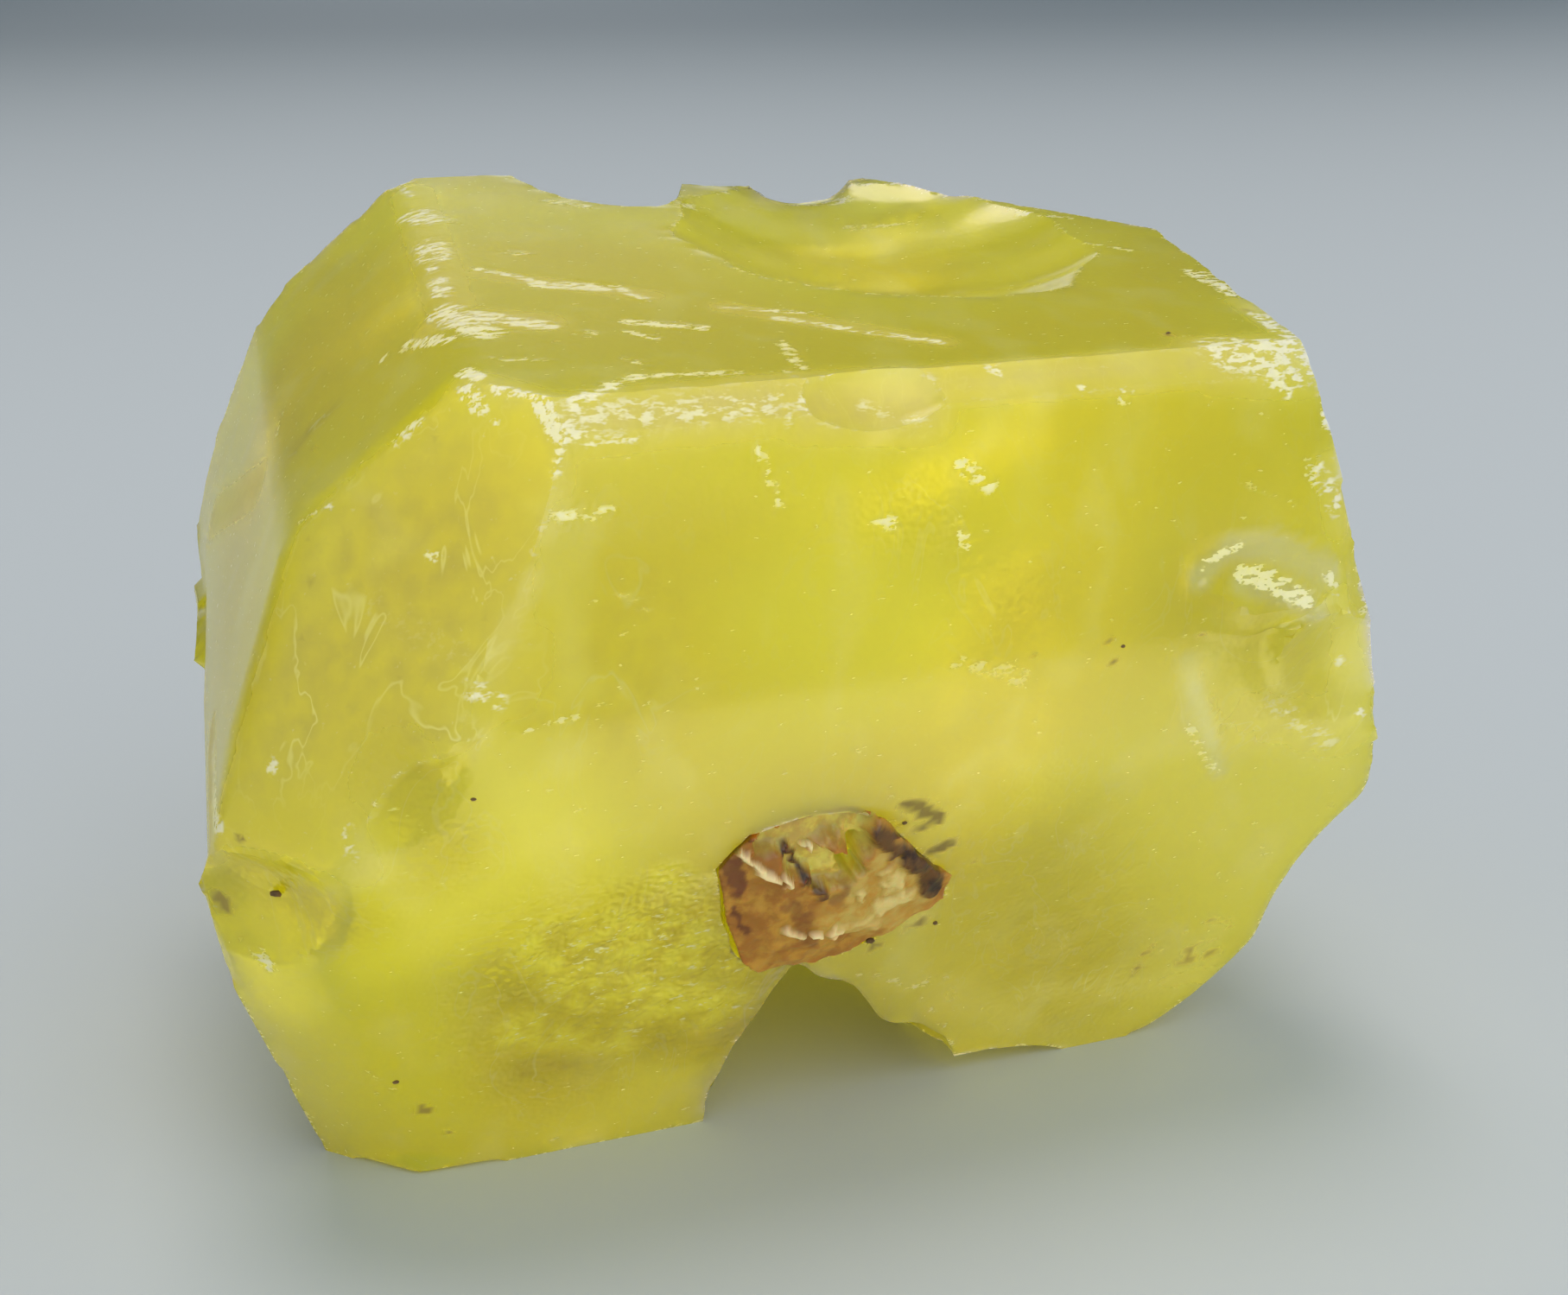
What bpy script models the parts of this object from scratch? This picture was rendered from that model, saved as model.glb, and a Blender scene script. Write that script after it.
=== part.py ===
"""A native sulfur crystal, broken at the back and below, with a scrap of brown matrix in its front notch.

Metres, +Z up. The crystal stands on Z = 0, centred over the origin, and its largest steep face looks along -Y.
The natural faces come from sulfur's own axes and each face's Miller indices. The broken surfaces are a rounded
envelope that the faces are kept inside, and shell-shaped hollows that are cut from what is left.
"""

import math

import bmesh
import bpy
from mathutils import Matrix, Vector, noise

MM = 0.001
GAP = 0.3 * MM  # between the matrix and its pocket

# Sulfur is orthorhombic. These are the lengths of its axes, as shares of b.
AXIS_A, AXIS_B, AXIS_C = 0.8131, 1.0, 1.9034
LEAN = math.radians(8.5)  # the long axis leans this far towards the front
CENTRE = Vector((0, 0, 13.4)) * MM  # the natural faces are measured from here
BLOCK = 60 * MM  # the rough block that the faces are cut from
TO_ORIGIN = Vector((-1.14, 0.21, 0)) * MM  # moves the finished part over the origin

# Each natural face: its Miller indices, and its distance from CENTRE in mm.
FACES = {
    "basal": ((0, 0, 1), 9.5),
    "front_steep": ((-1, 1, 1), 13.54),
    "front_shallow": ((-1, 1, 3), 14.26),
    "front_left_dome": ((0, 1, 1), 15.5),
    "left_steep": ((1, 1, 1), 12.05),
    "left_shallow": ((1, 1, 3), 11.64),
    "back_steep": ((1, -1, 1), 11.9),
    "right_steep": ((-1, -1, 1), 16.7),
    "back_right_dome": ((0, -1, 1), 14.5),
    "under_front_steep": ((-1, 1, -1), 11.95),
    "under_front_left_dome": ((0, 1, -1), 17.2),
    "under_left_steep": ((1, 1, -1), 13.6),
    "under_back_steep": ((1, -1, -1), 13.0),
    "under_back_right_dome": ((0, -1, -1), 15.5),
}

# The rounded, broken envelope: rings of a cage from the top down, each a height and the ring's corners in plan,
# in mm, from the front left corner round by the right. It is smoothed, so it lies a little inside its corners.
ENVELOPE = (
    (34, ((-22, -20), (-8, -19), (1, -19), (9, -19), (21, -18), (24, -5), (22, 6), (17, 18), (0, 21), (-18, 20),
          (-24, 8), (-24, -8))),
    (20, ((-22, -18), (-8, -15.6), (1, -15.6), (9, -15.6), (18.5, -15.6), (19.5, -5), (18.5, 6), (15, 16), (0, 18),
          (-17, 18), (-22, 8), (-22, -8))),
    (14, ((-21, -17), (-8, -14.7), (1, -14.7), (8, -14.7), (15.9, -15.2), (17.9, -5), (17.5, 5), (14, 14.5),
          (1, 16), (-15, 16.5), (-19.5, 7), (-20.5, -7))),
    (9, ((-19, -15.5), (-8, -13), (1, -12.6), (8, -12.6), (18.1, -13.0), (18.3, -5), (17, 5), (13, 12), (1, 13.4),
         (-13, 13), (-16.5, 6), (-18.5, -6))),
    (4.5, ((-17.5, -12), (-8, -11), (1, -10.6), (8, -10.6), (16.4, -10.6), (17.0, -4), (15.4, 4), (12, 9.8),
           (1, 10.8), (-11, 10), (-13.8, 4), (-16.5, -4))),
    (0.2, ((-14.6, -9.8), (-7, -8.6), (1, -8.4), (7, -8.4), (14.0, -8.4), (13.8, -3), (12.6, 3), (10, 6.6), (1, 7.8),
           (-9, 7), (-11.5, 3), (-14, -4))),
    (-1.6, ((-12, -7), (-6, -6.4), (1, -6), (6, -6), (9.5, -5.5), (10, -2), (9.5, 2), (8, 4), (1, 5), (-7, 4),
            (-9, 2), (-11.5, -2.5))),
)
ENVELOPE_SMOOTHING = 3
ENVELOPE_SWELL, ENVELOPE_SWELL_SIZE = 0.25 * MM, 6 * MM  # how far its surface wanders, and over what length

# Each shell-like hollow: a point on the surface and the way out from it, the rim's width, height and depth in mm,
# its turn in that surface in degrees, how much of a ball it is (1 is half a ball, more is flatter), its ripples.
OUT_TOP = (0.002, -0.148, 0.989)
OUT_FRONT = (0, -0.985, 0.171)
OUT_BEVEL = (0.001, -0.806, 0.592)
OUT_LOWER_FRONT = (0, -0.892, -0.452)
OUT_LOWER_LEFT = (-0.688, -0.483, -0.541)
HOLLOWS = {
    "back_scar": ((7, 13, 19), (0, 1, 0), 24, 24, 8.2, 0, 1, 9),
    "top_bowl": ((6.3, -0.6, 22.9), OUT_TOP, 11.4, 12.6, 1.2, 0, 2.9, 7),
    "top_back_notch": ((0.8, 8.6, 24.3), OUT_TOP, 5.2, 10, 2, 0, 1.3, 3),
    "top_back_dip": ((6.6, 6.3, 23.9), OUT_TOP, 3.4, 4.6, 0.6, 0, 1.7, 2),
    "bevel_chip": ((0.3, -12.4, 20.7), OUT_BEVEL, 3.8, 2.4, 0.4, 0, 2.4, 3),
    "crescent_chip": ((11, -13.35, 15.3), OUT_FRONT, 4.8, 2.4, 0.45, -12, 2.4, 3),
    "flake_scar": ((12.4, -13.0, 12.1), (0.25, -0.95, -0.15), 5.4, 4.2, 0.5, 0, 3, 3),
    "right_edge_chip": ((13.9, -13.4, 14.8), (0.7, -0.7, 0.1), 1.6, 4.2, 0.4, 0, 2, 2),
    "left_scar": ((-14.2, -10.8, 9.8), OUT_LOWER_LEFT, 6.5, 3.8, 0.9, 0, 2, 3),
    "left_round_scar": ((-11.2, -12.8, 11.9), (-0.35, -0.93, 0.05), 2.6, 3.2, 0.4, 0, 2, 2),
    "back_left_chip": ((-12.8, 6, 12.4), (-0.97, 0.22, 0), 12, 5, 0.7, -7, 3, 4),
    "lower_right_scar": ((16.2, -8.4, 5.4), (0.75, -0.5, -0.44), 4.6, 6, 0.5, 20, 2.4, 3),
    "underside_bowl": ((1, 2, 0), (0, 0, -1), 18, 11.4, 1.6, 0, 2.4, 5),
    "notch": ((2.3, -4.6, -1), (0.3, 0, -0.954), 7.8, 17, 7.0, 0, 1, 3),
    "notch_ramp": ((6.2, -7, 0), (0, 0, -1), 6.5, 8, 0.6, 0, 2, 1),
}
FINE_HOLLOW = 8  # mm: hollows wider than this get a finer mesh
RIPPLE = 0.02  # how high the ripples stand, as a share of the hollow's radius

# The scrap of matrix, in the plane of the lower front face: its middle, its rim (mm across, mm up), the mm it goes
# in, and the flat facets of its outer side, each the mm it stands out at the middle, and its slopes across and up.
MATRIX_MIDDLE = Vector((0.4, -10.69, 8.0)) * MM
MATRIX_RIM = (
    (-3.4, 1.1), (-2.8, 2.1), (-1.4, 2.4), (-0.4, 2.3), (0.4, 1.9), (1.1, 1.2), (2.1, 0.2), (2.8, -0.4),
    (2.9, -1.1), (2.3, -1.5), (1.4, -2.0), (0.7, -2.4), (-0.2, -2.7), (-1.8, -2.5), (-2.3, -2.0), (-2.9, -0.6),
)
MATRIX_DEEP = 2.6 * MM
MATRIX_TAPER = 0.72
MATRIX_FACETS = ((0.55, 0.15, -0.04), (0.5, -0.13, 0.03), (0.75, 0.05, -0.28), (0.65, -0.04, 0.22))
MATRIX_RINGS, MATRIX_RING_STEP = 3, 0.45 * MM
MATRIX_ROUGHNESS, MATRIX_GRAIN = 0.1 * MM, 0.9 * MM
POCKET_COLLAR = 3 * MM  # how far the pocket's cutter stands out of the crystal


def clear_scene():
    for obj in list(bpy.data.objects):
        bpy.data.objects.remove(obj)


def material(name, colour, roughness, transmission=0.0, ior=1.5):
    made = bpy.data.materials.new(name)
    made.use_nodes = True
    shader = made.node_tree.nodes["Principled BSDF"]
    shader.inputs["Base Color"].default_value = (*colour, 1)
    shader.inputs["Roughness"].default_value = roughness
    shader.inputs["Transmission Weight"].default_value = transmission
    shader.inputs["IOR"].default_value = ior
    return made


def link(name, mesh, finish=None):
    obj = bpy.data.objects.new(name, mesh)
    bpy.context.scene.collection.objects.link(obj)
    if finish:
        mesh.materials.append(finish)
    return obj


def mesh_of(bm, name):
    bmesh.ops.recalc_face_normals(bm, faces=bm.faces)
    mesh = bpy.data.meshes.new(name)
    bm.to_mesh(mesh)
    bm.free()
    return mesh


def helper(obj):
    """Marks a cutter, which isn't part of the object."""
    obj.hide_render = True
    obj.display_type = "WIRE"
    return obj


def boolean(obj, other, operation):
    modifier = obj.modifiers.new(f"{operation.lower()} {other.name}", "BOOLEAN")
    modifier.operation = operation
    modifier.object = other
    modifier.solver = "EXACT"


def frame_facing(outward, twist=0.0):
    """The turn that points a shape's own Z outward and keeps its Y as upright as can be, then twists it."""
    up = Vector((0, 1, 0)) if abs(outward.z) > 0.9 else Vector((0, 0, 1))
    across = up.cross(outward).normalized()
    upright = Matrix((across, outward.cross(across), outward)).transposed()
    return upright @ Matrix.Rotation(math.radians(twist), 3, "Z")


# The natural faces.


def crystal_axes():
    """Turns crystal directions into the part's: (-1, 1, 1) faces the front, and the long axis leans."""
    front = Vector((-1 / AXIS_A, 1 / AXIS_B, 0))
    turn = math.radians(-90) - math.atan2(front.y, front.x)
    return Matrix.Rotation(LEAN, 3, "X") @ Matrix.Rotation(turn, 3, "Z")


def face_normal(indices):
    h, k, l = indices
    return (crystal_axes() @ Vector((h / AXIS_A, k / AXIS_B, l / AXIS_C))).normalized()


def cut_flat(bm, point, normal):
    """Takes away what lies beyond a plane, and closes the cut."""
    geometry = bm.verts[:] + bm.edges[:] + bm.faces[:]
    cut = bmesh.ops.bisect_plane(bm, geom=geometry, plane_co=point, plane_no=normal, clear_outer=True)
    rim = [e for e in cut["geom_cut"] if isinstance(e, bmesh.types.BMEdge)]
    if rim:
        bmesh.ops.edgeloop_fill(bm, edges=rim)


def natural_faces():
    bm = bmesh.new()
    bmesh.ops.create_cube(bm, size=BLOCK)
    bmesh.ops.translate(bm, verts=bm.verts, vec=CENTRE)
    for indices, distance in FACES.values():
        normal = face_normal(indices)
        cut_flat(bm, CENTRE + normal * distance * MM, normal)
    cut_flat(bm, Vector(), Vector((0, 0, -1)))
    return mesh_of(bm, "natural_faces")


# The broken surfaces.


def envelope():
    bm = bmesh.new()
    rings = [[bm.verts.new(Vector((x, y, height)) * MM) for x, y in ring] for height, ring in ENVELOPE]
    for upper, lower in zip(rings, rings[1:]):
        for i in range(len(upper)):
            j = (i + 1) % len(upper)
            bm.faces.new((upper[i], lower[i], lower[j], upper[j]))
    bm.faces.new(rings[0])
    bm.faces.new(rings[-1][::-1])
    cage = link("envelope_cage", mesh_of(bm, "envelope_cage"))
    smooth = cage.modifiers.new("smooth", "SUBSURF")
    smooth.levels = smooth.render_levels = ENVELOPE_SMOOTHING
    bpy.context.view_layer.update()
    graph = bpy.context.evaluated_depsgraph_get()
    mesh = bpy.data.meshes.new_from_object(cage.evaluated_get(graph), depsgraph=graph)
    bpy.data.objects.remove(cage)
    for vertex in mesh.vertices:
        wander = noise.noise(vertex.co / ENVELOPE_SWELL_SIZE)
        vertex.co += vertex.normal * wander * ENVELOPE_SWELL
    return helper(link("envelope", mesh))


def hollow(name, point, outward, width, height, depth, twist, flatness, ripples):
    """A cutter for a shell-like break, with rings round the place on its rim where the blow fell."""
    away = Vector(outward).normalized()
    tall = depth * flatness
    share = math.sqrt(1 - ((tall - depth) / tall) ** 2)
    size = Matrix.Diagonal((width / 2 / share, height / 2 / share, tall))
    blow = Vector((0.3, 0.9, -0.3)).normalized()
    bm = bmesh.new()
    bmesh.ops.create_icosphere(bm, subdivisions=5 if width > FINE_HOLLOW else 4, radius=1)
    for vertex in bm.verts:
        from_blow = vertex.co.angle(blow) / math.pi
        fade = min(1, 4 * from_blow)
        vertex.co *= 1 + RIPPLE * fade * math.sin(2 * math.pi * ripples * from_blow)
    turn = frame_facing(away, twist)
    bmesh.ops.transform(bm, matrix=(turn @ size).to_4x4(), verts=bm.verts)
    middle = Vector(point) + away * (tall - depth)
    bmesh.ops.translate(bm, verts=bm.verts, vec=middle)
    bmesh.ops.scale(bm, verts=bm.verts, vec=(MM, MM, MM))
    return helper(link(name, mesh_of(bm, name)))


# The matrix and its pocket.


def extrude_up(bm, face, rise):
    """Draws a face up or down, and hands back its new corners."""
    drawn = bmesh.ops.extrude_face_region(bm, geom=[face])
    corners = [v for v in drawn["geom"] if isinstance(v, bmesh.types.BMVert)]
    bmesh.ops.translate(bm, verts=corners, vec=(0, 0, rise))
    return corners


def outer_face(bm):
    return max(bm.faces, key=lambda face: face.calc_center_median().z)


def matrix_block(clearance):
    """The scrap's rim, filled, and drawn in to a smaller foot; it lies in the XY plane with its outer side up."""
    bm = bmesh.new()
    rim = [bm.verts.new(Vector((across, up, 0)) * MM) for across, up in MATRIX_RIM]
    face = bm.faces.new(rim)
    middle = face.calc_center_median()
    for vertex in rim:
        vertex.co += (vertex.co - middle).normalized() * clearance
    foot = extrude_up(bm, face, -MATRIX_DEEP - clearance)
    bmesh.ops.scale(bm, verts=foot, vec=(MATRIX_TAPER, MATRIX_TAPER, 1))
    return bm


def stand_out(place):
    """How far the scrap's outer side stands out here: flat facets, with a little roughness."""
    across, up = place.x / MM, place.y / MM
    facets = min(out + across * right + up * rise for out, right, rise in MATRIX_FACETS)
    return facets * MM + noise.noise(place / MATRIX_GRAIN) * MATRIX_ROUGHNESS


def matrix_scrap(finish):
    bm = matrix_block(0.0)
    bmesh.ops.recalc_face_normals(bm, faces=bm.faces)
    outer = [outer_face(bm)]
    for _ in range(MATRIX_RINGS):
        bmesh.ops.inset_region(bm, faces=outer, thickness=MATRIX_RING_STEP, use_even_offset=False)
    bmesh.ops.poke(bm, faces=outer)
    for vertex in bm.verts:
        if vertex.co.z > -0.01 * MM:
            vertex.co.z += stand_out(vertex.co)
    bmesh.ops.triangulate(bm, faces=bm.faces)
    obj = link("matrix_fragment", mesh_of(bm, "matrix_fragment"), finish)
    place_matrix(obj.data)
    return obj


def place_matrix(mesh):
    seat = frame_facing(Vector(OUT_LOWER_FRONT).normalized()).to_4x4()
    mesh.transform(Matrix.Translation(MATRIX_MIDDLE) @ seat)


def matrix_pocket():
    bm = matrix_block(GAP)
    extrude_up(bm, outer_face(bm), POCKET_COLLAR)
    pocket = helper(link("matrix_pocket", mesh_of(bm, "matrix_pocket")))
    place_matrix(pocket.data)
    return pocket


def crystal(finish):
    obj = link("sulfur_crystal", natural_faces(), finish)
    boolean(obj, envelope(), "INTERSECT")
    for name, shape in HOLLOWS.items():
        boolean(obj, hollow(name, *shape), "DIFFERENCE")
    boolean(obj, matrix_pocket(), "DIFFERENCE")
    return obj


def main():
    clear_scene()
    crystal(material("sulfur", (0.72, 0.66, 0.03), 0.3, transmission=0.6, ior=2.0))
    matrix_scrap(material("matrix_rock", (0.24, 0.11, 0.03), 0.5))
    for obj in bpy.data.objects:
        obj.data.transform(Matrix.Translation(TO_ORIGIN))


main()
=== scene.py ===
import math

import bmesh
import bpy
import numpy as np
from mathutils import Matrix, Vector, noise
from mathutils.kdtree import KDTree


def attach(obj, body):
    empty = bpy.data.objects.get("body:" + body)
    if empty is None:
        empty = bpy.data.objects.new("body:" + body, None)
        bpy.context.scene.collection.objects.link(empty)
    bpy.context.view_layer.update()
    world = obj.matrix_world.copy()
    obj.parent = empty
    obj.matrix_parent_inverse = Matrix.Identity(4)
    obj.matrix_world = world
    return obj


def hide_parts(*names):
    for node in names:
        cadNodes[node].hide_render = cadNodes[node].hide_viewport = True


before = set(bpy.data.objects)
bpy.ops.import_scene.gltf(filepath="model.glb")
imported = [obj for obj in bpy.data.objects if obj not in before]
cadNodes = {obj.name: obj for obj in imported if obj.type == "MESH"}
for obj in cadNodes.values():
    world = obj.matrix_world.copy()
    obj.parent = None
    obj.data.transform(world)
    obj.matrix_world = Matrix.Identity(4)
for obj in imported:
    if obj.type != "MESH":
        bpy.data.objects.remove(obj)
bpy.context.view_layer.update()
mm = 0.001


def hexColour(code):
    # "#rrggbb" in sRGB to the linear colour that a shader wants
    channels = [int(code[i : i + 2], 16) / 255 for i in (1, 3, 5)]
    linear = [c / 12.92 if c <= 0.04045 else ((c + 0.055) / 1.055) ** 2.4 for c in channels]
    return (*linear, 1.0)


def addNode(tree, name, kind, settings, inputs):
    # an input is a number, a colour code or the "name.output" that feeds it
    # a map range's inputs are 0 the value, 1 and 2 where it comes from, 3 and 4 where it goes to
    node = tree.nodes.new("ShaderNode" + kind)
    node.name = name
    for key, value in settings.items():
        setattr(node, key, value)
    for socket, value in inputs.items():
        if not isinstance(value, str):
            node.inputs[socket].default_value = value
        elif value.startswith("#"):
            node.inputs[socket].default_value = hexColour(value)
        else:
            source, output = value.split(".")
            tree.links.new(tree.nodes[source].outputs[output], node.inputs[socket])


def newMaterial(name, rows):
    # each row is a node's name, kind, settings and inputs
    made = bpy.data.materials.new(name)
    made.use_nodes = True
    made.node_tree.nodes.clear()
    for row in rows:
        addNode(made.node_tree, *row)
    return made


# options that many nodes share
smooth = {"interpolation_type": "SMOOTHSTEP"}
colours = {"data_type": "RGBA"}
times, plus, larger, minus, unsigned = (
    {"operation": operation} for operation in ("MULTIPLY", "MULTIPLY_ADD", "MAXIMUM", "SUBTRACT", "ABSOLUTE")
)


def addPiece(name, mesh, material, slot, *replaced):
    piece = bpy.data.objects.new(name, mesh)
    bpy.context.scene.collection.objects.link(piece)
    mesh.materials.clear()
    mesh.materials.append(material)
    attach(piece, "root")
    if replaced:
        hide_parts(*replaced)


def mergedCopy(node):
    mesh = node.data.copy()
    skin = bmesh.new()
    skin.from_mesh(mesh)
    bmesh.ops.remove_doubles(skin, verts=skin.verts, dist=0.001 * mm)
    skin.to_mesh(mesh)
    skin.free()
    return mesh


def remeshed(mesh, name, options):
    # a net of small quads over the same shape
    rough = bpy.data.objects.new(name, mesh)
    bpy.context.scene.collection.objects.link(rough)
    remesh = rough.modifiers.new("remesh", "REMESH")
    for option, value in options.items():
        setattr(remesh, option, value)
    even = bpy.data.meshes.new_from_object(rough.evaluated_get(bpy.context.evaluated_depsgraph_get()))
    bpy.data.objects.remove(rough)
    even.name = name
    return even


def vertexVectors(mesh, what):
    values = np.empty(len(mesh.vertices) * 3)
    mesh.vertices.foreach_get(what, values)
    return values.reshape(-1, 3)


def writeSkin(mesh, points, layers):
    # moves the vertices to points in mm and stores what the material reads at each
    mesh.vertices.foreach_set("co", (points * mm).ravel())
    for name, values in layers.items():
        layer = mesh.attributes.new(name, "FLOAT", "POINT")
        layer.data.foreach_set("value", values)
    for polygon in mesh.polygons:
        polygon.use_smooth = True
    mesh.update()


def markMask(points, marks, soft=False):
    # how strongly each point lies under the marks, from 0 to 1
    mask = np.zeros(len(points))
    for x0, y0, z0, x1, y1, z1, reach, strength in marks:
        start = np.array((x0, y0, z0))
        along = np.array((x1, y1, z1)) - start
        share = np.clip((points - start) @ along / max(along @ along, 0.001), 0, 1)
        away = np.linalg.norm(points - start - share[:, None] * along, axis=1) / reach
        fade = rising(away, 2.2, 0) if soft else rising(away, 2, 0.4)
        mask = np.maximum(mask, strength * fade)
    return mask


def rising(values, low, high):
    # eases from 0 at low to 1 at high
    share = np.clip((values - low) / (high - low), 0, 1)
    return share * share * (3 - 2 * share)


def softNoise(points, size, seed, finer=0.0, ratio=2.0):
    # noise of a size in mm; finer adds a share of a second one, smaller by the ratio
    shift = Vector((seed * 7.3, seed * 3.1, seed * 5.7))
    values = np.array([noise.noise(Vector(p) / size + shift) for p in points])
    return values + finer * softNoise(points, size / ratio, seed + 1) if finer else values


cameraSettings = {
    "place": (-0.02698, -0.06491, 0.0314),
    "heading": 24.315,  # degrees to the right of +Y
    "dip": 15.9,  # degrees below level
    "lens": 58.59,
    "sensor": 36.0,
}


def buildCamera(user):
    data = bpy.data.cameras.new("camera")
    data.lens = user["lens"]
    data.sensor_width = user["sensor"]
    data.clip_start = 1 * mm
    data.clip_end = 10
    camera = bpy.data.objects.new("camera", data)
    bpy.context.scene.collection.objects.link(camera)
    camera.location = user["place"]
    camera.rotation_euler = (math.radians(90 - user["dip"]), 0, -math.radians(user["heading"]))
    bpy.context.scene.camera = camera


buildCamera(cameraSettings)
print("camera placed")

crystalSettings = {
    # an even net of small quads that keeps the crystal's crisp edges
    "net": {"mode": "SHARP", "octree_depth": 8, "scale": 0.62, "use_remove_disconnected": True},
    "sharpAngle": 26,  # degrees: a crisper meeting of two faces than this keeps its line
}

sulfurSettings = {
    "deep": "#e8dc0e",
    "bright": "#efe81c",
    "veil": "#f7ef74",
    "crack": "#fbf7a6",
    "murk": "#97903a",
    "bloom": "#b0a168",
    # the rub colour also paints the pale glints on the crescent crack: painted highlights
    "rub": "#e8e2bc",
    "dirt": "#6e5320",
    # the lens colour is a painted reflection: the pale light off the crescent-shaped crack under the skin
    "lens": "#e9ecb0",
    # olive, spark and flash paint the glitter: shaded and lit specks and sparse painted highlights, for
    # light off rough surfaces inside
    "olive": "#d0c41c",
    "spark": "#fcf03c",
    "flash": "#fffbb8",
    "ior": 1.7,
    "gloss": 0.22,  # roughness of the bare skin
    "absorb": "#f5ec2c",
    "absorbDensity": 55,
    "scatter": 25,  # mm
    # the greatest share of each coat over the body colour
    "coats": {"veils": 0.4, "shade": 0.45, "frost": 0.78, "grime": 0.85, "lens": 0.7, "glitter": 0.9},
    "wornShare": 0.48,  # how much of a rub the worn edges show
    "glassyGloss": 0.15,  # roughness that glassy places lose
    "seeThrough": 0.5,
    "cloudSize": 7,  # mm
    "veilSize": 1.7,
    "veilDraw": (1, 1, 0.45),  # less than 1 draws the veils out along that axis
    "veilWarp": 0.6,
    "crackSize": 2.6,
    "crackWidth": 0.018,
    "rubSize": 0.18,
    "rubShare": 0.85,
    "scuffShare": 0.34,
    "grainSize": 0.5,
    "gritSize": 0.16,
}

crystalMesh = remeshed(mergedCopy(cadNodes["sulfur_crystal"]), "sulfurCrystal", crystalSettings["net"])

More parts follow.
